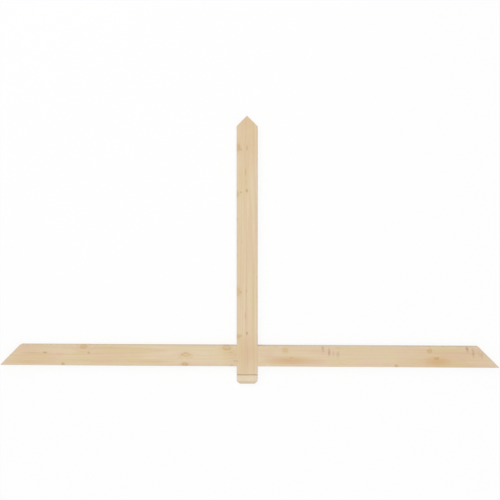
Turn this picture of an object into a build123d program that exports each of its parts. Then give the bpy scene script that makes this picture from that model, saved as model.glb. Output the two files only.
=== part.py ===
"""Timber gable bracket: a king post and two tie arms of planed softwood, lying on its back.

Frame, in millimetres: the origin is where the centre lines of the post and the tie cross, on the back faces.
+X runs along the tie to the right arm, +Y runs up the post to its pointed head, and +Z comes out of the front.
"""
from build123d import *

import os
from math import radians, tan

# Overall shape of the bracket under the roof
span = 2133.6               # between the lower tips of the two arms
roof_pitch = 45.0           # degrees, a twelve-in-twelve roof
foot_drop = 76.2            # post below the lower edge of the arms

# Timber sections
post_width = 88.9
arm_width = 88.9
timber_depth = 38.1         # front to back, the same for all three timbers
arris_radius = 1.6          # easing of the planed long edges

# Foot of the post
groove_above_end = 40.0     # centre of the V-groove above the foot's end
groove_width = 6.4
groove_depth = 3.2
foot_chamfer = 12.7

# Blind stub tenon of each arm in the side of the post
tenon_width = 50.8
tenon_thickness = 12.7
tenon_length = 25.4
tenon_clearance = 0.15      # on each cheek and edge of the tenon
mortise_end_gap = 1.6       # glue space past the tenon's end

# Places worked out from the sizes above
mid_depth = timber_depth / 2
half_post = post_width / 2
half_arm = arm_width / 2
half_span = span / 2
pitch_slope = tan(radians(roof_pitch))
apex_y = half_span * pitch_slope - half_arm
shoulder_y = apex_y - half_post * pitch_slope
foot_y = -half_arm - foot_drop
groove_y = foot_y + groove_above_end
post_length = apex_y - foot_y
arm_length = half_span - half_post
mortise_depth = tenon_length + mortise_end_gap

# Planes of the sections: the foot's end looking up the post, and the sides of the post looking outwards
foot_plane = Plane(origin=(0, foot_y, mid_depth), x_dir=(1, 0, 0), z_dir=(0, 1, 0))
right_shoulder = Plane(origin=(half_post, 0, mid_depth), x_dir=(0, 1, 0), z_dir=(1, 0, 0))
left_shoulder = Plane(origin=(-half_post, 0, mid_depth), x_dir=(0, -1, 0), z_dir=(-1, 0, 0))
side_plane = Plane(origin=(0, 0, mid_depth), x_dir=(0, 0, 1), z_dir=(-1, 0, 0))


def foot_outline(half):
    """Edge of the foot from its end upwards, at the given distance from the post's centre line."""
    return [
        (0, foot_y),
        (half - foot_chamfer, foot_y),
        (half, foot_y + foot_chamfer),
        (half, groove_y - groove_width / 2),
        (half - groove_depth, groove_y),
        (half, groove_y + groove_width / 2),
    ]


# The post is its planed section, cut to its outline from the front and then from the side
with BuildPart() as king_post:
    with BuildSketch(foot_plane):
        RectangleRounded(post_width, timber_depth, arris_radius)
    extrude(amount=post_length)
    with BuildSketch(Plane.XY):
        with BuildLine() as front_outline:
            Polyline(*foot_outline(half_post), (half_post, shoulder_y), (0, apex_y))
            mirror(about=Plane.YZ)
        make_face()
    extrude(amount=timber_depth, mode=Mode.INTERSECT)
    with BuildSketch(side_plane):
        with BuildLine() as side_outline:
            Polyline(*foot_outline(mid_depth), (mid_depth, apex_y), (0, apex_y))
            mirror(about=Plane.YZ)
        make_face()
    extrude(amount=half_post, both=True, mode=Mode.INTERSECT)
    with BuildSketch(left_shoulder, right_shoulder):
        Rectangle(tenon_width + 2 * tenon_clearance, tenon_thickness + 2 * tenon_clearance)
    extrude(amount=-mortise_depth, mode=Mode.SUBTRACT)
king_post.part.label = "king_post"

# An arm is its planed section with a raked outer end and a stub tenon at the post
with BuildPart() as right_arm:
    with BuildSketch(right_shoulder):
        RectangleRounded(arm_width, timber_depth, arris_radius)
    extrude(amount=arm_length)
    with BuildSketch(Plane.XY):
        with BuildLine() as raked_outline:
            Polyline(
                (half_post, -half_arm),
                (half_span, -half_arm),
                (half_span - arm_width / pitch_slope, half_arm),
                (half_post, half_arm),
                close=True,
            )
        make_face()
    extrude(amount=timber_depth, mode=Mode.INTERSECT)
    with BuildSketch(right_shoulder):
        Rectangle(tenon_width, tenon_thickness)
    extrude(amount=-tenon_length)
right_arm.part.label = "right_arm"

with BuildPart() as left_arm:
    mirror(right_arm.part, about=Plane.YZ)
left_arm.part.label = "left_arm"

os.makedirs("parts", exist_ok=True)
for piece in (king_post, left_arm, right_arm):
    export_step(piece.part, f"parts/{piece.part.label}.step")
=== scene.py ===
"""Timber gable bracket, dressed: a king post and two tie arms of planed, knotty softwood on a pale floor.

Everything is in metres, in the frame of the solids: +X along the tie, +Y up the post, +Z out of the front.
"""

import logging
import math
from abc import ABC, abstractmethod
from dataclasses import dataclass
from enum import Enum
from functools import reduce

import bpy
import numpy as np
from mathutils import Matrix, Vector, noise


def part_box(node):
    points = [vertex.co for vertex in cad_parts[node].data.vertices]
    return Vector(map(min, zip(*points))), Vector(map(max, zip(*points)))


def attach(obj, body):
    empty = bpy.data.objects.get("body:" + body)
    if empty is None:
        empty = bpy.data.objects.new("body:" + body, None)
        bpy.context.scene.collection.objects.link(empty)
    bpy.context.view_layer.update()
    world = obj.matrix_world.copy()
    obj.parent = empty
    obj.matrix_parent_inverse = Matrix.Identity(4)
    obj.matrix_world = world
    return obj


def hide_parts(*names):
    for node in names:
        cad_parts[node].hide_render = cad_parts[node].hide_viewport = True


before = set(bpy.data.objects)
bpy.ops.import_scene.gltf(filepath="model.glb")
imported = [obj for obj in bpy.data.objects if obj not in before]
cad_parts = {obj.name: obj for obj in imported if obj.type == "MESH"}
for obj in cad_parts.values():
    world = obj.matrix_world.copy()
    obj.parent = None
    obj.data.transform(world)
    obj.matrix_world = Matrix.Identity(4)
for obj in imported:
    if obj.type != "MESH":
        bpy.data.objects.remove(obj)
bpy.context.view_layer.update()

Colour = tuple[float, float, float, float]
Point = tuple[float, float, float]
Span = tuple[float, float]

LOG = logging.getLogger("gable_bracket")
ROOF_SLOPE = 1.0  # rise over run
NOISE_MIDDLE = 0.5  # mean of a noise texture
TOLERANCE = 1e-6  # what counts as the same place
WHITE: Colour = (1.0, 1.0, 1.0, 1.0)


def srgb(red: int, green: int, blue: int) -> Colour:
    """Turn a colour chosen on the screen's 0 to 255 scale into the linear colour that a shader takes.

    Args:
        red: Red on the screen.
        green: Green on the screen.
        blue: Blue on the screen.

    Returns:
        The linear colour, opaque.
    """
    def linear(level: float) -> float:
        """Undo the screen's curve for one channel."""
        return level / 12.92 if level <= 0.04045 else ((level + 0.055) / 1.055) ** 2.4

    return linear(red / 255), linear(green / 255), linear(blue / 255), 1.0


class Blend(Enum):
    """How a colour goes over the wood, by the Mix node's own names."""

    MIX = "MIX"
    MULTIPLY = "MULTIPLY"


@dataclass(frozen=True)
class Tone:
    """A colour laid over the wood: how much of it at most, how the two are blended, and where it sets in."""

    colour: Colour
    amount: float = 1.0
    blend: Blend = Blend.MIX
    span: Span = (0.0, 1.0)

    def cover(self, level: "Signal") -> "Signal":
        """How far the tone has set in where a number goes from the start of its span to the end."""
        return level.between(*self.span)


class Signal:
    """A number that changes over a surface: an expression on it adds Math nodes to its sheet."""

    def __init__(self, sheet: "Sheet", socket: bpy.types.NodeSocket) -> None:
        """Keep the socket and the sheet that it belongs to."""
        self.sheet = sheet
        self.socket = socket

    def __add__(self, other: "Signal | float") -> "Signal":
        """Sum of two numbers."""
        return self.sheet.maths("ADD", self, other)

    __radd__ = __add__

    def __sub__(self, other: "Signal | float") -> "Signal":
        """This number less another."""
        return self.sheet.maths("SUBTRACT", self, other)

    def __rsub__(self, other: float) -> "Signal":
        """A plain number less this one."""
        return self.sheet.maths("SUBTRACT", other, self)

    def __mul__(self, other: "Signal | float") -> "Signal":
        """Product of two numbers."""
        return self.sheet.maths("MULTIPLY", self, other)

    __rmul__ = __mul__

    def __truediv__(self, other: "Signal | float") -> "Signal":
        """This number divided by another."""
        return self.sheet.maths("DIVIDE", self, other)

    def __rtruediv__(self, other: float) -> "Signal":
        """A plain number divided by this one."""
        return self.sheet.maths("DIVIDE", other, self)

    def __pow__(self, exponent: "Signal | float") -> "Signal":
        """This number raised to a power."""
        return self.sheet.maths("POWER", self, exponent)

    def __rpow__(self, base: float) -> "Signal":
        """A plain number raised to this power."""
        return self.sheet.maths("POWER", base, self)

    def __abs__(self) -> "Signal":
        """Size without sign."""
        return self.sheet.maths("ABSOLUTE", self)

    def smaller(self, other: "Signal | float") -> "Signal":
        """The smaller of two numbers."""
        return self.sheet.maths("MINIMUM", self, other)

    def larger(self, other: "Signal | float") -> "Signal":
        """The larger of two numbers."""
        return self.sheet.maths("MAXIMUM", self, other)

    def whole(self) -> "Signal":
        """The whole part."""
        return self.sheet.maths("FLOOR", self)

    def part(self) -> "Signal":
        """The part after the point."""
        return self.sheet.maths("FRACT", self)

    def between(self, start: float, full: float) -> "Signal":
        """A smooth step from 0 at start to 1 at full, which may be the smaller of the two."""
        return self.sheet.step(self, start, full, 0.0, 1.0)


class Sheet:
    """The node tree of one material or of the world, written as expressions."""

    def __init__(self, tree: bpy.types.NodeTree) -> None:
        """Start from an empty tree."""
        self.tree = tree
        self.tree.nodes.clear()

    def node(
        self,
        kind: str,
        settings: dict[str, object] | None = None,
        inputs: dict[str, object] | None = None,
    ) -> bpy.types.Node:
        """Add a node of any type.

        Args:
            kind: The node's type, without its ShaderNode prefix.
            settings: The node's own settings, set before its sockets.
            inputs: Values or links of its sockets, by identifier or by name.

        Returns:
            The new node.
        """
        made = self.tree.nodes.new("ShaderNode" + kind)
        for key, value in (settings or {}).items():
            setattr(made, key, value)
        for key, value in (inputs or {}).items():
            exact = [socket for socket in made.inputs if socket.identifier == key]
            socket = exact[0] if exact else made.inputs[key]
            if isinstance(value, Signal):
                self.tree.links.new(value.socket, socket)
            elif isinstance(value, bpy.types.NodeSocket):
                self.tree.links.new(value, socket)
            else:
                socket.default_value = value
        return made

    def signal(self, node: bpy.types.Node, output: str | int = 0) -> Signal:
        """Wrap one output of a node."""
        return Signal(self, node.outputs[output])

    def maths(self, operation: str, first: Signal | float, second: Signal | float | None = None) -> Signal:
        """Add one Math node.

        Args:
            operation: The Math node's operation.
            first: Its first value.
            second: Its second value, where the operation has one.

        Returns:
            The result.
        """
        inputs = {"Value": first}
        if second is not None:
            inputs["Value_001"] = second
        return self.signal(self.node("Math", {"operation": operation}, inputs))

    def step(self, value: Signal, low: float, high: float, start: float, end: float) -> Signal:
        """Ease a value from start to end as it goes from low to high.

        Args:
            value: The value that is eased.
            low: Where the step begins.
            high: Where the step ends.
            start: Result before the step.
            end: Result after it.

        Returns:
            The eased value.
        """
        limits = {"Value": value, "From Min": low, "From Max": high, "To Min": start, "To Max": end}
        return self.signal(self.node("MapRange", {"interpolation_type": "SMOOTHSTEP"}, limits))

    def vector(self, x: Signal | float, y: Signal | float, z: Signal | float) -> bpy.types.NodeSocket:
        """Join three numbers into a vector."""
        return self.node("CombineXYZ", inputs={"X": x, "Y": y, "Z": z}).outputs[0]

    def split(self, vector: bpy.types.NodeSocket) -> tuple[Signal, Signal, Signal]:
        """Take a vector apart into its three numbers."""
        parts = self.node("SeparateXYZ", inputs={"Vector": vector})
        return self.signal(parts, 0), self.signal(parts, 1), self.signal(parts, 2)

    def mix(
        self,
        amount: Signal | float,
        first: bpy.types.NodeSocket | Colour,
        second: bpy.types.NodeSocket | Colour,
        blend: Blend = Blend.MIX,
    ) -> bpy.types.NodeSocket:
        """Blend two colours.

        Args:
            amount: Share of the second colour.
            first: The colour underneath.
            second: The colour on top.
            blend: How the one goes over the other.

        Returns:
            The blended colour.
        """
        settings = {"data_type": "RGBA", "blend_type": blend.value, "clamp_factor": True}
        colours = {"Factor_Float": amount, "A_Color": first, "B_Color": second}
        made = self.node("Mix", settings, colours)
        return next(socket for socket in made.outputs if socket.identifier == "Result_Color")

    def lay(self, wood: bpy.types.NodeSocket, cover: Signal, tone: Tone) -> bpy.types.NodeSocket:
        """Lay a tone over the wood so far, as far as the cover reaches."""
        return self.mix(cover * tone.amount, wood, tone.colour, tone.blend)

    def length(self, vector: bpy.types.NodeSocket) -> Signal:
        """Length of a vector."""
        return self.signal(self.node("VectorMath", {"operation": "LENGTH"}, {"Vector": vector}), "Value")

    def cloud(
        self, vector: bpy.types.NodeSocket, seed: float, detail: float = 2.0, roughness: float = 0.55
    ) -> bpy.types.Node:
        """Add a noise texture over a vector that is already in its own scale."""
        inputs = {"Vector": vector, "W": seed, "Scale": 1.0, "Detail": detail, "Roughness": roughness}
        return self.node("TexNoise", {"noise_dimensions": "4D"}, inputs)

    def shaken(
        self, vector: bpy.types.NodeSocket, cloud: bpy.types.Node, reach: float
    ) -> bpy.types.NodeSocket:
        """Move a vector about by a noise texture.

        Args:
            vector: The vector that is moved.
            cloud: The noise texture.
            reach: The whole width of the movement, half of it each way.

        Returns:
            The moved vector.
        """
        centred = self.node("VectorMath", {"operation": "SUBTRACT"}, {
            "Vector": cloud.outputs["Color"],
            "Vector_001": (NOISE_MIDDLE, NOISE_MIDDLE, NOISE_MIDDLE),
        })
        moved = self.node("VectorMath", {"operation": "MULTIPLY_ADD"}, {
            "Vector": centred.outputs[0],
            "Vector_001": (reach, reach, reach),
            "Vector_002": vector,
        })
        return moved.outputs[0]

    def either(self, share: Signal, first: bpy.types.Node, second: bpy.types.Node) -> bpy.types.NodeSocket:
        """Mix two shaders, with the given share of the second."""
        inputs = {"Fac": share, "Shader": first.outputs[0], "Shader_001": second.outputs[0]}
        return self.node("MixShader", inputs=inputs).outputs[0]

    def seen(self) -> Signal:
        """Tell what the camera sees from what only lights the bracket.

        Returns:
            1 where the camera looks, straight or by way of gloss or glass.
        """
        path = self.node("LightPath")
        straight = self.signal(path, "Is Camera Ray")
        gloss = self.signal(path, "Is Glossy Ray")
        return straight.larger(gloss).larger(self.signal(path, "Is Transmission Ray"))


class Grain(Enum):
    """Which axis of the frame a timber's grain follows."""

    ALONG_X = 0
    ALONG_Y = 1


class Side(Enum):
    """Which side of the post an arm stands on, as the sign of its X."""

    LEFT = -1
    RIGHT = 1


class Flaw(Enum):
    """Kinds of mark on a planed face: how deep it goes in metres, and where its edge begins and ends."""

    KNOT = (1.0, 0.78, 1.12)
    PITCH = (0.006, 0.25, 1.2)
    TICK = (0.005, 0.25, 1.2)
    STAIN = (0.014, 0.05, 1.25)

    def __init__(self, depth: float, core: float, rim: float) -> None:
        """Keep the kind's own sizes.

        Args:
            depth: How deep it goes, in metres.
            core: Where its edge begins, in units of the mark's half sizes.
            rim: Where its edge ends, in the same units.
        """
        self.depth = depth
        self.core = core
        self.rim = rim


@dataclass(frozen=True)
class Mark:
    """One flaw on the front face: its place along and across the grain, half sizes, strength and angles."""

    kind: Flaw
    along: float
    across: float
    half_length: float
    half_width: float
    strength: float = 0.5
    turn: float = 0.0
    lean: float = 0.0


@dataclass(frozen=True)
class Spots:
    """All flaws of one kind: how strongly they cover the wood, and how far off the nearest one is."""

    cover: Signal
    reach: Signal


@dataclass(frozen=True)
class Place:
    """Where a point of the surface lies in its timber, as signals and as one vector."""

    along: Signal
    across: Signal
    deep: Signal
    vector: bpy.types.NodeSocket


@dataclass(frozen=True)
class Weave:
    """Noise drawn out along the grain: how many blobs there are in a metre along it and across it."""

    along: float
    across: float


@dataclass(frozen=True)
class Figure:
    """What clear wood shows: its rings and years, drawn-out noises, and how far a surface is end grain."""

    late: Signal
    year: Signal
    fibre: Signal
    streak: Signal
    patch: Signal
    tint: Signal
    canal: Signal
    sawn: Signal
    end: Signal


@dataclass(frozen=True)
class Stick:
    """What the finish needs to know of one timber: grain, sizes, tree and flaws, and where it was worked."""

    grain: Grain
    half_across: float
    half_deep: float
    roof_at: float
    pith_across: float
    pith_deep: float
    seed: float
    marks: tuple[Mark, ...]
    ring_strength: float = 0.45
    tint_strength: float = 1.0
    flush_half: float = 0.0
    groove_at: float | None = None


@dataclass(frozen=True)
class PlanedSoftwood:
    """Pale planed softwood with growth rings about a pith, fibres, knots, resin ticks and end grain."""

    # Clear wood
    early: Colour = srgb(222, 203, 173)
    late: Colour = srgb(204, 172, 127)
    ochre: Tone = Tone(srgb(212, 182, 135), 0.45, span=(0.5, 0.78))
    blush: Tone = Tone(srgb(219, 193, 166), 0.45, span=(0.5, 0.26))
    rose: Tone = Tone(srgb(255, 248, 255), blend=Blend.MULTIPLY, span=(0.48, 0.66))
    straw: Tone = Tone(srgb(252, 255, 243), blend=Blend.MULTIPLY, span=(0.52, 0.34))
    streaks: Tone = Tone(srgb(204, 172, 127), 0.26, span=(0.5, 0.74))
    fibres: Tone = Tone(srgb(202, 172, 132), 0.26, span=(0.52, 0.72))
    canals: Tone = Tone(srgb(168, 132, 92), 0.4, span=(0.64, 0.72))

    # Stains, knots and resin marks: halo and rim are in units of a knot's half sizes
    stains: Tone = Tone(srgb(202, 158, 102))
    halo: Tone = Tone(srgb(212, 182, 135), 0.36, span=(2.6, 0.9))
    knot_light: Colour = srgb(208, 166, 90)
    knot_heart: Colour = srgb(186, 140, 70)
    knot_rings: float = 2.6
    knot_rim: Tone = Tone(srgb(146, 106, 68), 0.3, span=(0.3, 0.6))
    rim_inside: Span = (0.7, 0.95)
    rim_outside: Span = (1.15, 0.98)
    pitch: Tone = Tone(srgb(158, 110, 62))
    ticks: Tone = Tone(srgb(142, 114, 84))
    broken_span: Span = (0.36, 0.64)
    broken_cover: Span = (0.45, 1.55)

    # Painted shade along the arrises, sawn ends, the post's foot and painted shade in its groove: spans at
    # edges, foot and groove are in metres
    # Greyer, darker band along the arrises and raked cuts: painted shade of the eased edges
    edges: Tone = Tone(srgb(208, 195, 178), span=(0.0075, 0.0005))
    edge_floor: float = 0.25
    edge_fibre: float = 0.4
    flush_blend: float = 0.003
    ends: Tone = Tone(srgb(250, 245, 236), blend=Blend.MULTIPLY, span=(0.35, 0.8))
    end_saw: float = 0.5
    foot: Tone = Tone(srgb(229, 214, 192), 0.5, span=(0.001, -0.002))
    # Darker, greyer line along the groove round the foot: painted shade in the V-groove
    groove: Tone = Tone(srgb(188, 168, 140), 0.5, span=(0.0034, 0.0012))

    # Noises along the grain, and the metres by which one of them shakes the edges of flaws
    fibre_weave: Weave = Weave(16.0, 700.0)
    streak_weave: Weave = Weave(2.2, 75.0)
    patch_weave: Weave = Weave(3.1, 17.0)
    tint_weave: Weave = Weave(7.0, 30.0)
    canal_weave: Weave = Weave(60.0, 1600.0)
    saw_weave: Weave = Weave(40.0, 420.0)
    ragged_weave: Weave = Weave(90.0, 180.0)
    drift_weave: Weave = Weave(1.4, 7.0)
    weave_detail: float = 3.0
    ragged: float = 0.005
    ragged_seed: float = 4.0

    # Growth rings: widths are in metres, and latewood in parts of a ring
    ring_width: float = 0.0036
    ring_floor: float = 0.14
    late_begins: Span = (0.25, 0.86)
    late_stops: Span = (0.99, 0.9)
    taper: float = 0.005
    wander: float = 0.007
    swell: float = 0.006
    swell_span: Span = (3.2, 0.4)

    # Touch: roughness, gloss, and a relief in metres of which each feature takes a share up or down
    roughness: float = 0.62
    fibre_rough: float = 0.12
    end_rough: float = 0.1
    knot_smooth: float = 0.15
    late_smooth: float = 0.05
    gloss: float = 0.3
    relief: float = 0.0004
    relief_strength: float = 0.5
    knot_raised: float = 0.4
    late_sunk: float = 0.35
    fibre_sunk: float = 0.4
    tick_sunk: float = 0.8
    saw_sunk: float = 1.5

    def material(self, name: str, stick: Stick) -> bpy.types.Material:
        """Make the finish of one timber.

        Args:
            name: Name of the material.
            stick: The timber that it covers.

        Returns:
            The material.
        """
        made = bpy.data.materials.new(name)
        made.use_nodes = True
        sheet = Sheet(made.node_tree)
        place = self.place(sheet, stick)
        flaws = self.flaws(sheet, place, stick)
        figure = self.figure(sheet, place, stick, flaws[Flaw.KNOT].reach)
        wood = self.clear_wood(sheet, stick, figure)
        wood = self.flawed_wood(sheet, figure, flaws, wood)
        wood = self.worked_and_shaded_wood(sheet, place, stick, figure, wood)
        bump = sheet.node("Bump", inputs={
            "Strength": self.relief_strength,
            "Distance": self.relief,
            "Height": self.height(figure, flaws),
        })
        surface = sheet.node("BsdfPrincipled", inputs={
            "Base Color": wood,
            "Roughness": self.rough(figure, flaws),
            "Normal": bump.outputs["Normal"],
            "Specular IOR Level": self.gloss,
        })
        sheet.node("OutputMaterial", inputs={"Surface": surface.outputs["BSDF"]})
        return made

    def place(self, sheet: Sheet, stick: Stick) -> Place:
        """Read the surface point along, across and into the timber.

        Args:
            sheet: The sheet that it is added to.
            stick: The timber.

        Returns:
            The point's place.
        """
        x, y, z = sheet.split(sheet.node("TexCoord").outputs["Object"])
        along, across = (x, y) if stick.grain is Grain.ALONG_X else (y, x)
        deep = z - stick.half_deep
        return Place(along, across, deep, sheet.vector(along, across, deep))

    def normal_along(self, sheet: Sheet, stick: Stick) -> Signal:
        """How far the surface faces along the grain, as end grain does."""
        parts = sheet.split(sheet.node("TexCoord").outputs["Normal"])
        return parts[stick.grain.value]

    def drawn(self, sheet: Sheet, place: Place, weave: Weave) -> bpy.types.NodeSocket:
        """Scale a surface point so that noise over it is drawn out along the grain."""
        return sheet.vector(place.along * weave.along, place.across * weave.across, place.deep * weave.across)

    def woven(self, sheet: Sheet, place: Place, stick: Stick, weave: Weave) -> Signal:
        """Noise from 0 to 1, drawn out along the grain, of one timber's own."""
        point = self.drawn(sheet, place, weave)
        return sheet.signal(sheet.cloud(point, stick.seed + weave.along, self.weave_detail))

    def flaws(self, sheet: Sheet, place: Place, stick: Stick) -> dict[Flaw, Spots]:
        """Lay the flaws of every kind, with ragged edges.

        Args:
            sheet: The sheet that they are added to.
            place: Where the surface point lies.
            stick: The timber with its flaws.

        Returns:
            The flaws by kind.
        """
        cloud = sheet.cloud(self.drawn(sheet, place, self.ragged_weave), self.ragged_seed)
        shaken = sheet.shaken(place.vector, cloud, self.ragged)
        return {kind: self.spots(sheet, shaken, stick, kind) for kind in Flaw}

    def spots(self, sheet: Sheet, point: bpy.types.NodeSocket, stick: Stick, kind: Flaw) -> Spots:
        """Lay all flaws of one kind on a timber.

        Args:
            sheet: The sheet that they are added to.
            point: The surface point, shaken so that the edges come out ragged.
            stick: The timber with its flaws.
            kind: The kind that is laid.

        Returns:
            Their cover, and the distance to the nearest one, where 1 is its rim.
        """
        covers: list[Signal] = []
        reaches: list[Signal] = []
        for mark in stick.marks:
            if mark.kind is not kind:
                continue
            turned = sheet.node("Mapping", {"vector_type": "TEXTURE"}, {
                "Vector": point,
                "Location": (mark.along, mark.across, stick.half_deep),
                "Rotation": (0.0, math.radians(mark.lean), math.radians(mark.turn)),
                "Scale": (mark.half_length, mark.half_width, kind.depth),
            })
            reach = sheet.length(turned.outputs[0])
            reaches.append(reach)
            covers.append(sheet.step(reach, kind.core, kind.rim, mark.strength, 0.0))
        return Spots(reduce(Signal.larger, covers), reduce(Signal.smaller, reaches))

    def rings(self, sheet: Sheet, place: Place, stick: Stick, knot: Signal) -> tuple[Signal, Signal]:
        """Growth rings about the pith, wandering slowly and swelling round the knots.

        Args:
            sheet: The sheet that they are added to.
            place: Where the surface point lies.
            stick: The timber with its pith.
            knot: Distance to the nearest knot.

        Returns:
            The latewood of each ring, and a random darkness for each year, both from 0 to 1.
        """
        slow = self.drawn(sheet, place, self.drift_weave)
        drift_a, drift_b, _ = sheet.split(sheet.cloud(slow, stick.seed).outputs["Color"])
        across = place.across - stick.pith_across + (drift_a - NOISE_MIDDLE) * self.wander
        deep = place.deep - stick.pith_deep + (drift_b - NOISE_MIDDLE) * self.wander
        radius = (across * across + deep * deep) ** 0.5
        radius = radius + place.along * self.taper + knot.between(*self.swell_span) * self.swell
        years = radius / self.ring_width
        ring = years.part()
        late = ring.between(*self.late_begins) * ring.between(*self.late_stops)
        chance = sheet.node("TexWhiteNoise", {"noise_dimensions": "1D"}, {"W": years.whole() + stick.seed})
        return late, sheet.signal(chance, "Value")

    def figure(self, sheet: Sheet, place: Place, stick: Stick, knot: Signal) -> Figure:
        """Draw everything that clear wood shows.

        Args:
            sheet: The sheet that it is added to.
            place: Where the surface point lies.
            stick: The timber.
            knot: Distance to the nearest knot.

        Returns:
            The signals of the figure.
        """
        late, year = self.rings(sheet, place, stick, knot)
        return Figure(
            late=late,
            year=year,
            fibre=self.woven(sheet, place, stick, self.fibre_weave),
            streak=self.woven(sheet, place, stick, self.streak_weave),
            patch=self.woven(sheet, place, stick, self.patch_weave),
            tint=self.woven(sheet, place, stick, self.tint_weave),
            canal=self.woven(sheet, place, stick, self.canal_weave),
            sawn=self.woven(sheet, place, stick, self.saw_weave),
            end=self.ends.cover(abs(self.normal_along(sheet, stick))),
        )

    def clear_wood(self, sheet: Sheet, stick: Stick, figure: Figure) -> bpy.types.NodeSocket:
        """Colour the wood between its flaws.

        Args:
            sheet: The sheet that it is added to.
            stick: The timber.
            figure: Its figure.

        Returns:
            The colour.
        """
        dark = figure.late * (figure.year * stick.ring_strength + self.ring_floor)
        wood = sheet.mix(dark, self.early, self.late)
        wood = sheet.lay(wood, self.ochre.cover(figure.patch), self.ochre)
        wood = sheet.lay(wood, self.blush.cover(figure.patch), self.blush)
        wood = sheet.lay(wood, self.rose.cover(figure.tint) * stick.tint_strength, self.rose)
        wood = sheet.lay(wood, self.straw.cover(figure.tint) * stick.tint_strength, self.straw)
        wood = sheet.lay(wood, self.streaks.cover(figure.streak), self.streaks)
        wood = sheet.lay(wood, self.fibres.cover(figure.fibre), self.fibres)
        return sheet.lay(wood, self.canals.cover(figure.canal), self.canals)

    def flawed_wood(
        self, sheet: Sheet, figure: Figure, flaws: dict[Flaw, Spots], wood: bpy.types.NodeSocket
    ) -> bpy.types.NodeSocket:
        """Colour the stains, the knots with their halos and rims, and the resin marks.

        Args:
            sheet: The sheet that they are added to.
            figure: The timber's figure.
            flaws: The flaws by kind.
            wood: The colour of the clear wood.

        Returns:
            The colour with the flaws on it.
        """
        knots = flaws[Flaw.KNOT]
        rim = knots.reach.between(*self.rim_inside) * knots.reach.between(*self.rim_outside)
        heart = (knots.reach * self.knot_rings + figure.patch).part()
        broken = sheet.step(figure.fibre, *self.broken_span, *self.broken_cover)
        wood = sheet.lay(wood, flaws[Flaw.STAIN].cover, self.stains)
        wood = sheet.lay(wood, self.halo.cover(knots.reach), self.halo)
        wood = sheet.mix(knots.cover, wood, sheet.mix(heart, self.knot_light, self.knot_heart))
        wood = sheet.lay(wood, rim * self.knot_rim.cover(figure.patch), self.knot_rim)
        wood = sheet.lay(wood, flaws[Flaw.PITCH].cover * broken, self.pitch)
        return sheet.lay(wood, flaws[Flaw.TICK].cover * broken, self.ticks)

    def worked_and_shaded_wood(
        self, sheet: Sheet, place: Place, stick: Stick, figure: Figure, wood: bpy.types.NodeSocket
    ) -> bpy.types.NodeSocket:
        """Colour the sawn ends and the post's foot, and paint shade along the arrises and in the groove.

        Args:
            sheet: The sheet that it is added to.
            place: Where the surface point lies.
            stick: The timber.
            figure: Its figure.
            wood: The colour so far.

        Returns:
            The finished colour.
        """
        # Painted shade along the arrises and raked cuts, broken up by the fibres
        edge_shade = self.edge(place, stick) * (figure.fibre * self.edge_fibre + self.edge_floor)
        wood = sheet.lay(wood, edge_shade, self.edges)
        wood = sheet.lay(wood, figure.end * (figure.sawn * self.end_saw + (1 - self.end_saw)), self.ends)
        if stick.groove_at is None:
            return wood
        past_groove = place.along - stick.groove_at
        wood = sheet.lay(wood, self.foot.cover(past_groove), self.foot)
        # Painted shade in the groove round the foot
        return sheet.lay(wood, self.groove.cover(abs(past_groove)), self.groove)

    def edge(self, place: Place, stick: Stick) -> Signal:
        """Nearness to an arris, where the face meets a side or the cut along the roof, which takes painted
        shade.

        Args:
            place: Where the surface point lies.
            stick: The timber.

        Returns:
            1 on the edge, and 0 away from it or where the joint was planed flush.
        """
        upright = stick.grain is Grain.ALONG_Y
        x, y = (place.across, place.along) if upright else (place.along, place.across)
        to_side = stick.half_across - abs(place.across)
        to_face = stick.half_deep - abs(place.deep)
        to_cut = (stick.roof_at - abs(x) * ROOF_SLOPE - y) / math.hypot(1.0, ROOF_SLOPE)
        near = self.edges.cover(to_side.smaller(to_cut).larger(to_face))
        low = stick.flush_half - self.flush_blend
        high = stick.flush_half + self.flush_blend
        return near * abs(place.along).between(low, high)

    def rough(self, figure: Figure, flaws: dict[Flaw, Spots]) -> Signal:
        """Roughness: more on fibres and end grain, less on latewood and knots."""
        rougher = self.roughness + figure.fibre * self.fibre_rough + figure.end * self.end_rough
        return rougher - flaws[Flaw.KNOT].cover * self.knot_smooth - figure.late * self.late_smooth

    def height(self, figure: Figure, flaws: dict[Flaw, Spots]) -> Signal:
        """Height in shares of the relief: knots stand proud, and fibres, ticks and saw marks are sunk.

        Args:
            figure: The timber's figure.
            flaws: The flaws by kind.

        Returns:
            The height.
        """
        height = flaws[Flaw.KNOT].cover * self.knot_raised
        height = height - figure.late * self.late_sunk - figure.fibre * self.fibre_sunk
        return height - flaws[Flaw.TICK].cover * self.tick_sunk - figure.end * figure.sawn * self.saw_sunk


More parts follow.
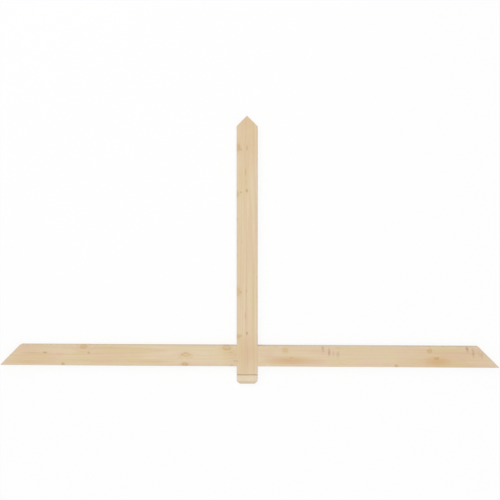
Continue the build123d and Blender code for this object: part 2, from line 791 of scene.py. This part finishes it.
class Lattice:
    """A block of cells between three sets of grid lines, whose outer skin becomes a mesh."""

    def __init__(self, lines: tuple[np.ndarray, np.ndarray, np.ndarray]) -> None:
        """Start with every cell filled."""
        self.lines = lines
        self.filled = np.ones([len(line) - 1 for line in lines], bool)

    def inside(self, low: Point, high: Point) -> np.ndarray:
        """Find the cells whose middles lie in a box.

        Args:
            low: Lowest corner of the box.
            high: Highest corner of the box.

        Returns:
            True for each such cell.
        """
        middles = [(line[:-1] + line[1:]) / 2 for line in self.lines]
        hits = [(middle > a) & (middle < b) for middle, a, b in zip(middles, low, high)]
        return hits[0][:, None, None] & hits[1][None, :, None] & hits[2][None, None, :]

    def skin(self) -> tuple[np.ndarray, np.ndarray]:
        """Collect the faces between filled and empty cells.

        Returns:
            The corner points, and the four-sided faces as rows of point numbers, all facing outwards.
        """
        padded = np.pad(self.filled, 1)
        quads = []
        for axis in range(3):
            first, second = np.eye(3, dtype=int)[[(axis + 1) % 3, (axis + 2) % 3]]
            for side in (1, -1):
                # A side of a filled cell is bare where the next cell is empty
                bare = (padded & ~np.roll(padded, -side, axis))[1:-1, 1:-1, 1:-1]
                corner = np.argwhere(bare)
                corner[:, axis] += side > 0
                ring = [corner, corner + first, corner + first + second, corner + second]
                quads.append(np.stack(ring if side > 0 else ring[::-1], 1))
        index = np.concatenate(quads)
        shape = [len(line) for line in self.lines]
        flat = np.ravel_multi_index(index.reshape(-1, 3).T, shape)
        used, faces = np.unique(flat, return_inverse=True)
        where = np.unravel_index(used, shape)
        points = np.stack([line[i] for line, i in zip(self.lines, where)], 1)
        return points, faces.reshape(-1, 4)


def graded(low: float, high: float, step: float, fixed: tuple[float, ...] = ()) -> np.ndarray:
    """Space grid lines evenly between fixed ones.

    Args:
        low: First line.
        high: Last line.
        step: Largest spacing.
        fixed: Lines that must be there.

    Returns:
        The lines, in order.
    """
    stops = sorted({low, high, *fixed})
    runs: list[np.ndarray] = []
    for start, end in zip(stops, stops[1:]):
        count = max(1, math.ceil((end - start) / step - TOLERANCE))
        runs.append(np.linspace(start, end, count + 1)[:-1])
    return np.concatenate([*runs, [high]])


def ease(value: np.ndarray) -> np.ndarray:
    """Ease numbers from 0 to 1 with no kink at either end."""
    held = np.clip(value, 0.0, 1.0)
    return held * held * (3 - 2 * held)


@dataclass(frozen=True)
class Joinery:
    """Sizes of the joints and of the foot, which the boxes of the frame don't tell."""

    tenon_half_width: float = 0.0254
    tenon_half_thick: float = 0.00635
    tenon_length: float = 0.0254
    tenon_clearance: float = 0.00015
    mortise_end_gap: float = 0.0016
    foot_chamfer: float = 0.0127
    groove_above_end: float = 0.0400
    groove_half_width: float = 0.0032
    groove_depth: float = 0.0032


@dataclass
class Timber(ABC):
    """A planed timber: eased arrises, faces that wave a little, and knots that stand proud as it dries."""

    node: str
    stick: Stick
    joinery: Joinery
    arris: float = 0.0016
    mesh_step: float = 0.0032
    cut_bevel: float = 0.0004
    sharp_angle: float = 35.0

    # Unevenness of arrises and faces, and how far about a knot it fades, in units of the knot's half sizes
    wear_share: float = 0.3
    wear_weave: Weave = Weave(9.0, 20.0)
    shrinkage: float = 0.00025
    wave_share: float = 0.4
    wave_weave: Weave = Weave(5.0, 30.0)
    proud_span: Span = (0.36, 2.16)

    @abstractmethod
    def shape(self) -> tuple[np.ndarray, np.ndarray]:
        """Cut the timber to shape, as points and four-sided faces."""

    @abstractmethod
    def exposed(self, points: np.ndarray) -> np.ndarray:
        """How much of each point is open to the air, 0 where it bears on another timber."""

    def build(self) -> bpy.types.Object:
        """Make the piece, and give its faces their slight unevenness.

        Returns:
            The piece, still bare.
        """
        name = self.node + "_timber"
        points, faces = self.shape()
        mesh = bpy.data.meshes.new(name)
        mesh.from_pydata(points.tolist(), [], faces.tolist())
        normals = np.array([normal.vector for normal in mesh.vertex_normals])
        sunk = points - normals * self.unevenness(points)[:, None]
        mesh.vertices.foreach_set("co", sunk.astype(np.float32).ravel())
        mesh.update()
        mesh.validate()
        mesh.shade_smooth()
        mesh.set_sharp_from_angle(angle=math.radians(self.sharp_angle))
        piece = bpy.data.objects.new(name, mesh)
        bpy.context.scene.collection.objects.link(piece)
        return piece

    def dress(self, piece: bpy.types.Object) -> None:
        """Give the piece its finish and tie it to the frame.

        Args:
            piece: The bare piece.
        """
        piece.data.materials.append(PlanedSoftwood().material(self.node + "_softwood", self.stick))
        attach(piece, "root")
        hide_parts(self.node)

    def section_lines(self, low: float, high: float, fixed: tuple[float, ...] = ()) -> np.ndarray:
        """Grid lines over one side of the section, close together at the eased arrises.

        Args:
            low: One edge of the side.
            high: The other edge.
            fixed: Further lines that must be there.

        Returns:
            The lines, in order.
        """
        halfway = self.arris * math.tan(math.pi / 8)
        eased = (low + self.arris - halfway, low + self.arris, high - self.arris, high - self.arris + halfway)
        return graded(low, high, self.mesh_step, (*eased, *fixed))

    def ease_arrises(self, points: np.ndarray, first: int, second: int) -> None:
        """Round the long edges of a sharp timber, a little unevenly along it.

        Args:
            points: The points, changed in place.
            first: One axis of the section.
            second: The other axis of the section.
        """
        middle = (points.max(0) + points.min(0)) / 2
        half = (points.max(0) - points.min(0)) / 2
        local = points - middle
        core = np.clip(local, -(half - self.arris), half - self.arris)
        over = (local - core)[:, [first, second]]
        corner = np.abs(over).min(1) > TOLERANCE
        square = over[corner]
        # Each square about the core's edge is drawn in onto the circle that it holds
        circle = square * (np.abs(square).max(1) / np.linalg.norm(square, axis=1))[:, None]
        moved = square + (circle - square) * self.easing(points[corner])[:, None]
        local[np.ix_(corner, [first, second])] = core[np.ix_(corner, [first, second])] + moved
        points[:] = local + middle

    def easing(self, points: np.ndarray) -> np.ndarray:
        """How far the arris is rounded, as hand sanding leaves it.

        Args:
            points: Points on the arrises.

        Returns:
            A number about 1 for each point.
        """
        along = points[:, self.stick.grain.value] * self.wear_weave.along
        deep = points[:, 2] * self.wear_weave.across
        wear = [noise.noise(Vector((a, self.stick.seed, d))) for a, d in zip(along, deep)]
        return 1 + self.wear_share * np.array(wear)

    def unevenness(self, points: np.ndarray) -> np.ndarray:
        """How far each point sinks below its full size.

        Args:
            points: The points.

        Returns:
            Depths in metres, never negative, and nothing where another timber bears on this one.
        """
        grain = self.stick.grain.value
        along = points[:, grain]
        across = points[:, 1 - grain]
        weave = self.wave_weave
        deep = points[:, 2] * weave.across + self.stick.seed
        spread = np.stack([along * weave.along, across * weave.across, deep], 1)
        wave = np.array([noise.noise(Vector(point)) for point in spread])
        depth = self.shrinkage * (1 - self.wave_share + self.wave_share * wave)
        proud, level = self.proud_span
        for mark in self.stick.marks:
            if mark.kind is Flaw.KNOT:
                off_along = (along - mark.along) / mark.half_length
                off_across = (across - mark.across) / mark.half_width
                depth *= ease((np.hypot(off_along, off_across) - proud) / (level - proud))
        return depth * self.exposed(points)


@dataclass
class KingPost(Timber):
    """The upright: pointed head, mortises for the arms, and a grooved and chamfered foot."""

    head_blend: float = 0.06
    flush_run: float = 0.012
    flush_easing: float = 0.1
    bearing_margin: float = 0.001

    def shape(self) -> tuple[np.ndarray, np.ndarray]:
        """Cut the post to shape.

        Returns:
            Its points and its four-sided faces.
        """
        low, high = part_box(self.node)
        size = self.joinery
        half = high.x
        middle = (low.z + high.z) / 2
        shoulder = high.y - half * ROOF_SLOPE
        groove = low.y + size.groove_above_end
        mortise_x = half - size.tenon_length - size.mortise_end_gap
        mortise_y = size.tenon_half_width + size.tenon_clearance
        mortise_z = size.tenon_half_thick + size.tenon_clearance
        lattice = Lattice((
            self.section_lines(low.x, high.x, (0.0, -mortise_x, mortise_x)),
            graded(low.y, shoulder, self.mesh_step, (
                low.y + self.cut_bevel,
                low.y + size.foot_chamfer,
                groove - size.groove_half_width,
                groove,
                groove + size.groove_half_width,
                -mortise_y,
                mortise_y,
                shoulder - self.cut_bevel,
            )),
            self.section_lines(low.z, high.z, (middle - mortise_z, middle + mortise_z)),
        ))
        for inner, outer in ((-half, -mortise_x), (mortise_x, half)):
            lattice.filled &= ~lattice.inside(
                (inner, -mortise_y, middle - mortise_z), (outer, mortise_y, middle + mortise_z)
            )
        points, faces = lattice.skin()
        y = points[:, 1].copy()
        self.ease_arrises(points, 0, 2)
        chamfer = size.foot_chamfer - (y - low.y)
        notch = size.groove_depth * (1 - np.abs(y - groove) / size.groove_half_width)
        bevel = np.where(y > shoulder - TOLERANCE, self.cut_bevel, 0.0)
        inset = np.maximum.reduce([chamfer, notch, bevel, np.zeros_like(y)])
        points[:, 0] *= 1 - inset / half
        points[:, 2] = middle + (points[:, 2] - middle) * (1 - inset / (high.z - middle))
        rise = high.y - np.abs(points[:, 0]) * ROOF_SLOPE - shoulder
        points[:, 1] += rise * np.clip((y - shoulder + self.head_blend) / self.head_blend, 0.0, 1.0)
        return points, faces

    def easing(self, points: np.ndarray) -> np.ndarray:
        """How far the arris is rounded: hardly at all between the arms, where the joint was planed flush.

        Args:
            points: Points on the arrises.

        Returns:
            A number for each point, about 1 away from the arms.
        """
        past_arm = (np.abs(points[:, 1]) - self.stick.flush_half) / self.flush_run
        return super().easing(points) * (self.flush_easing + (1 - self.flush_easing) * ease(past_arm))

    def exposed(self, points: np.ndarray) -> np.ndarray:
        """How much of each point is open to the air: 0 in the mortises and under the arms' shoulders.

        Args:
            points: The points.

        Returns:
            0 or 1 for each point.
        """
        below_face = self.stick.half_deep - np.abs(points[:, 2] - self.stick.half_deep)
        beside_arm = np.abs(points[:, 1]) < self.stick.flush_half + self.bearing_margin
        return 1.0 - beside_arm * (below_face > self.arris)


@dataclass
class TieArm(Timber):
    """One half of the tie: a stub tenon at the post and an outer end raked to the roof."""

    side: Side = Side.RIGHT
    end_blend: float = 0.05
    shoulder_run: float = 0.004

    def shape(self) -> tuple[np.ndarray, np.ndarray]:
        """Cut the arm to shape.

        Returns:
            Its points and its four-sided faces.
        """
        low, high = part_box(self.node)
        size = self.joinery
        sign = self.side.value
        post = self.shoulder()
        middle = (low.z + high.z) / 2
        tip = max(abs(low.x), abs(high.x))
        upper = tip - (high.y - low.y) / ROOF_SLOPE
        tenon_end = post - size.tenon_length
        tenon_low = middle - size.tenon_half_thick
        tenon_high = middle + size.tenon_half_thick
        out = graded(tenon_end, upper, self.mesh_step, (post, upper - self.cut_bevel))
        lattice = Lattice((
            out if self.side is Side.RIGHT else -out[::-1],
            self.section_lines(low.y, high.y, (-size.tenon_half_width, size.tenon_half_width)),
            self.section_lines(low.z, high.z, (tenon_low, tenon_high)),
        ))
        inner, outer = sorted((sign * tenon_end, sign * post))
        collar = lattice.inside((inner, low.y, low.z), (outer, high.y, high.z))
        tenon = lattice.inside(
            (inner, -size.tenon_half_width, tenon_low), (outer, size.tenon_half_width, tenon_high)
        )
        lattice.filled &= ~collar | tenon
        points, faces = lattice.skin()
        away = np.abs(points[:, 0])
        self.ease_arrises(points, 1, 2)
        inset = np.where(away > upper - TOLERANCE, self.cut_bevel, 0.0)
        points[:, 1] *= 1 - inset / high.y
        points[:, 2] = middle + (points[:, 2] - middle) * (1 - inset / (high.z - middle))
        rake = (high.y - points[:, 1]) / ROOF_SLOPE
        points[:, 0] += sign * rake * np.clip((away - upper + self.end_blend) / self.end_blend, 0.0, 1.0)
        return points, faces

    def exposed(self, points: np.ndarray) -> np.ndarray:
        """How much of each point is open to the air: 0 at the tenon and the shoulder."""
        return ease((np.abs(points[:, 0]) - self.shoulder()) / self.shoulder_run)

    def shoulder(self) -> float:
        """How far from the centre line the arm bears on the post."""
        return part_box("king_post")[1].x


@dataclass(frozen=True)
class FloorPaint:
    """White paint that keeps the bracket's shadow and fades to plain white farther off."""

    colour: Colour = (0.92, 0.92, 0.92, 1.0)
    glow: float = 0.86
    fade: Span = (1.6, 5.0)

    def material(self, name: str) -> bpy.types.Material:
        """Make the paint.

        Args:
            name: Name of the material.

        Returns:
            The material.
        """
        made = bpy.data.materials.new(name)
        made.use_nodes = True
        sheet = Sheet(made.node_tree)
        far = sheet.length(sheet.node("TexCoord").outputs["Object"])
        white = far.between(*self.fade) * (1.0 - self.glow) + self.glow
        matt = sheet.node("BsdfDiffuse", inputs={"Color": self.colour})
        plain = sheet.node("Emission", inputs={"Color": WHITE, "Strength": 1.0})
        sheet.node("OutputMaterial", inputs={"Surface": sheet.either(sheet.seen() * white, matt, plain)})
        return made


@dataclass(frozen=True)
class Lamp:
    """A soft square lamp: its name, where it hangs, the length of its side, and its power in watts."""

    name: str
    place: Point
    side: float
    power: float


@dataclass
class Studio:
    """Pale floor, soft light and the camera that looks down on the bracket."""

    floor_half: float = 60.0
    floor_gap: float = 0.0004
    lamps: tuple[Lamp, ...] = (
        Lamp("key_light", (-1.6, 2.7, 4.7), 4.0, 110.0),
        Lamp("fill_light", (1.2, -1.7, 4.5), 4.0, 61.0),
    )
    world_strength: float = 0.58
    camera_place: Point = (0.1582, 0.5399, 3.8130)
    camera_aim: Point = (0.01126, 0.45145, 0.0)
    lens: float = 63.99
    sensor: float = 36.0

    def build(self) -> None:
        """Set up the floor, the light, the view and the camera."""
        self.floor()
        self.world()
        for lamp in self.lamps:
            self.hang(lamp)
        self.camera()
        bpy.context.scene.view_settings.view_transform = "Standard"

    def floor(self) -> None:
        """Lay the painted floor just under the bracket."""
        half = self.floor_half
        mesh = bpy.data.meshes.new("studio_floor")
        corners = [(-half, -half, 0.0), (half, -half, 0.0), (half, half, 0.0), (-half, half, 0.0)]
        mesh.from_pydata(corners, [], [(0, 1, 2, 3)])
        mesh.materials.append(FloorPaint().material("white_floor_paint"))
        floor = bpy.data.objects.new("studio_floor", mesh)
        floor.location.z = -self.floor_gap
        bpy.context.scene.collection.objects.link(floor)

    def world(self) -> None:
        """Light the bracket evenly from all round, with white behind it."""
        world = bpy.data.worlds.new("studio_world")
        world.use_nodes = True
        bpy.context.scene.world = world
        sheet = Sheet(world.node_tree)
        light = sheet.node("Background", inputs={"Color": WHITE, "Strength": self.world_strength})
        white = sheet.node("Background", inputs={"Color": WHITE, "Strength": 1.0})
        sheet.node("OutputWorld", inputs={"Surface": sheet.either(sheet.seen(), light, white)})

    def hang(self, lamp: Lamp) -> None:
        """Hang one lamp so that it looks at the middle of the bracket.

        Args:
            lamp: The lamp.
        """
        light = bpy.data.lights.new(lamp.name, "AREA")
        light.shape = "SQUARE"
        light.size = lamp.side
        light.energy = lamp.power
        hung = bpy.data.objects.new(lamp.name, light)
        hung.location = lamp.place
        view = Vector(self.camera_aim) - Vector(lamp.place)
        hung.rotation_euler = view.to_track_quat("-Z", "Y").to_euler()
        bpy.context.scene.collection.objects.link(hung)

    def camera(self) -> None:
        """Look down on the bracket with the head of the post at the top of the picture."""
        lens = bpy.data.cameras.new("camera")
        lens.lens = self.lens
        lens.sensor_width = self.sensor
        view = (Vector(self.camera_aim) - Vector(self.camera_place)).normalized()
        right = view.cross(Vector((0.0, 1.0, 0.0))).normalized()
        up = right.cross(view)
        camera = bpy.data.objects.new("camera", lens)
        turn = Matrix((right, up, -view)).transposed()
        camera.matrix_world = Matrix.Translation(self.camera_place) @ turn.to_4x4()
        bpy.context.scene.collection.objects.link(camera)
        bpy.context.scene.camera = camera


# Flaws of the post from its head downwards, then its long stains and the flaws at the crossing
POST_MARKS = (
    Mark(Flaw.STAIN, 0.995, 0.000, 0.075, 0.065, 0.28),
    Mark(Flaw.STAIN, 0.915, 0.006, 0.130, 0.085, 0.22),
    Mark(Flaw.KNOT, 0.888, -0.039, 0.014, 0.009, 0.18, lean=-14),
    Mark(Flaw.TICK, 0.887, -0.039, 0.013, 0.008, 0.16),
    Mark(Flaw.PITCH, 0.885, 0.000, 0.014, 0.0042, 0.44, turn=2),
    Mark(Flaw.TICK, 0.879, -0.026, 0.007, 0.005, 0.36),
    Mark(Flaw.STAIN, 0.784, -0.006, 0.022, 0.005, 0.4),
    Mark(Flaw.TICK, 0.781, -0.006, 0.022, 0.003, 0.1),
    Mark(Flaw.TICK, 0.742, -0.005, 0.012, 0.0018, 0.2),
    Mark(Flaw.TICK, 0.705, -0.001, 0.009, 0.0055, 0.46),
    Mark(Flaw.TICK, 0.697, -0.026, 0.005, 0.007, 0.34),
    Mark(Flaw.KNOT, 0.689, -0.042, 0.012, 0.006, 0.12, lean=-12),
    Mark(Flaw.TICK, 0.689, -0.042, 0.012, 0.006, 0.2),
    Mark(Flaw.TICK, 0.582, -0.041, 0.010, 0.007, 0.16),
    Mark(Flaw.STAIN, 0.487, -0.022, 0.014, 0.009, 0.25),
    Mark(Flaw.TICK, 0.431, -0.042, 0.006, 0.003, 0.25),
    Mark(Flaw.TICK, 0.336, 0.042, 0.010, 0.0024, 0.25),
    Mark(Flaw.PITCH, 0.278, -0.001, 0.011, 0.004, 0.2),
    Mark(Flaw.KNOT, 0.274, -0.039, 0.015, 0.009, 0.14, lean=-16),
    Mark(Flaw.TICK, 0.274, -0.039, 0.014, 0.008, 0.08),
    Mark(Flaw.TICK, 0.272, -0.026, 0.006, 0.0045, 0.28),
    Mark(Flaw.STAIN, 0.174, -0.007, 0.021, 0.005, 0.38),
    Mark(Flaw.TICK, 0.172, -0.007, 0.022, 0.003, 0.12),
    Mark(Flaw.TICK, 0.097, -0.001, 0.010, 0.005, 0.78),
    Mark(Flaw.PITCH, 0.086, -0.026, 0.006, 0.006, 0.36),
    Mark(Flaw.KNOT, 0.084, -0.040, 0.009, 0.008, 0.2, lean=-12),
    Mark(Flaw.TICK, 0.084, -0.040, 0.009, 0.008, 0.2),
    Mark(Flaw.STAIN, 0.450, -0.003, 0.620, 0.005, 0.24),
    Mark(Flaw.STAIN, 0.450, -0.030, 0.620, 0.024, 0.08),
    Mark(Flaw.STAIN, 0.012, 0.000, 0.105, 0.080, 0.32),
    Mark(Flaw.TICK, -0.010, 0.0005, 0.075, 0.005, 0.12),
    Mark(Flaw.PITCH, -0.022, -0.042, 0.004, 0.007, 0.22),
)

# Flaws of the left arm from its raked end to the post, then its long and wide stains
LEFT_MARKS = (
    Mark(Flaw.PITCH, -0.925, 0.0092, 0.078, 0.0045, 0.18),
    Mark(Flaw.PITCH, -0.870, 0.0105, 0.013, 0.0048, 0.64),
    Mark(Flaw.STAIN, -0.805, 0.0045, 0.024, 0.006, 0.25),
    Mark(Flaw.KNOT, -0.792, -0.040, 0.006, 0.007, 0.18, lean=8),
    Mark(Flaw.TICK, -0.792, -0.040, 0.007, 0.008, 0.3),
    Mark(Flaw.KNOT, -0.703, 0.037, 0.016, 0.009, 0.36, lean=12),
    Mark(Flaw.PITCH, -0.680, 0.0107, 0.007, 0.005, 0.36),
    Mark(Flaw.KNOT, -0.262, 0.004, 0.018, 0.007, 0.22, lean=12),
    Mark(Flaw.PITCH, -0.262, 0.0133, 0.015, 0.0028, 0.28),
    Mark(Flaw.KNOT, -0.266, -0.038, 0.013, 0.008, 0.42, lean=10),
    Mark(Flaw.TICK, -0.275, -0.036, 0.004, 0.004, 0.26),
    Mark(Flaw.TICK, -0.260, -0.038, 0.004, 0.004, 0.3),
    Mark(Flaw.KNOT, -0.088, 0.036, 0.016, 0.010, 0.3, lean=10),
    Mark(Flaw.STAIN, -0.073, 0.028, 0.013, 0.011, 0.3),
    Mark(Flaw.PITCH, -0.069, 0.016, 0.010, 0.003, 0.3),
    Mark(Flaw.PITCH, -0.050, -0.022, 0.013, 0.004, 0.26, turn=-8),
    Mark(Flaw.TICK, -0.064, -0.039, 0.007, 0.0035, 0.36),
    Mark(Flaw.STAIN, -0.950, -0.030, 0.110, 0.012, 0.3),
    Mark(Flaw.STAIN, -0.640, -0.024, 0.150, 0.010, 0.24),
    Mark(Flaw.STAIN, -0.430, -0.026, 0.140, 0.010, 0.27),
    Mark(Flaw.STAIN, -0.935, 0.010, 0.130, 0.060, 0.22),
    Mark(Flaw.STAIN, -0.625, 0.005, 0.200, 0.070, 0.16),
    Mark(Flaw.STAIN, -0.055, -0.004, 0.055, 0.065, 0.2),
)

# Flaws of the right arm from the post to its raked end, then its long and wide stains
RIGHT_MARKS = (
    Mark(Flaw.KNOT, 0.163, 0.027, 0.010, 0.010, 0.22, lean=-10),
    Mark(Flaw.STAIN, 0.182, -0.0195, 0.128, 0.0215, 0.54),
    Mark(Flaw.PITCH, 0.189, -0.007, 0.010, 0.0035, 0.3),
    Mark(Flaw.TICK, 0.3222, 0.0345, 0.020, 0.0062, 0.34, turn=-82),
    Mark(Flaw.TICK, 0.3493, 0.0178, 0.021, 0.0058, 0.42, turn=-86),
    Mark(Flaw.TICK, 0.3680, 0.0091, 0.020, 0.0056, 0.12, turn=-88),
    Mark(Flaw.TICK, 0.3867, 0.0082, 0.018, 0.0090, 0.2, turn=88),
    Mark(Flaw.STAIN, 0.386, 0.0368, 0.016, 0.005, 0.3),
    Mark(Flaw.KNOT, 0.6335, -0.039, 0.006, 0.006, 0.2, lean=-8),
    Mark(Flaw.TICK, 0.6335, -0.039, 0.007, 0.007, 0.34),
    Mark(Flaw.KNOT, 0.773, 0.026, 0.009, 0.008, 0.34, lean=-12),
    Mark(Flaw.KNOT, 0.802, -0.006, 0.010, 0.006, 0.48, lean=-12),
    Mark(Flaw.STAIN, 0.806, -0.020, 0.090, 0.030, 0.6),
    Mark(Flaw.TICK, 0.9295, 0.0362, 0.020, 0.0062, 0.44, turn=-72),
    Mark(Flaw.TICK, 0.9558, 0.0173, 0.025, 0.0066, 0.26, turn=-83),
    Mark(Flaw.TICK, 0.9812, 0.0122, 0.020, 0.0056, 0.08, turn=-86),
    Mark(Flaw.TICK, 0.9924, 0.0057, 0.018, 0.0056, 0.22, turn=-86),
    Mark(Flaw.STAIN, 0.225, -0.020, 0.120, 0.015, 0.36),
    Mark(Flaw.STAIN, 0.880, -0.005, 0.200, 0.065, 0.2),
    Mark(Flaw.STAIN, 0.780, -0.022, 0.220, 0.026, 0.24),
)


def main() -> None:
    """Build and dress the bracket's timbers one by one, then set up the studio round them."""
    logging.basicConfig(level=logging.INFO)
    joinery = Joinery()
    low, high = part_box("king_post")
    arm_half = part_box("right_arm")[1].y
    half_deep = high.z / 2
    post = Stick(
        Grain.ALONG_Y, high.x, half_deep, roof_at=high.y, pith_across=0.012, pith_deep=-0.075, seed=3.7,
        marks=POST_MARKS, ring_strength=0.14, tint_strength=0.55, flush_half=arm_half,
        groove_at=low.y + joinery.groove_above_end,
    )
    left = Stick(
        Grain.ALONG_X, arm_half, half_deep, roof_at=high.y, pith_across=0.020, pith_deep=-0.080, seed=11.3,
        marks=LEFT_MARKS, tint_strength=0.75,
    )
    right = Stick(
        Grain.ALONG_X, arm_half, half_deep, roof_at=high.y, pith_across=-0.065, pith_deep=-0.050, seed=23.9,
        marks=RIGHT_MARKS, ring_strength=0.4, tint_strength=0.8,
    )
    timbers: list[Timber] = [
        KingPost("king_post", post, joinery),
        TieArm("left_arm", left, joinery, side=Side.LEFT),
        TieArm("right_arm", right, joinery, side=Side.RIGHT),
    ]
    for timber in timbers:
        piece = timber.build()
        timber.dress(piece)
        LOG.info("%s: %d faces, %d flaws", piece.name, len(piece.data.polygons), len(timber.stick.marks))
    Studio().build()


if __name__ == "__main__":
    main()
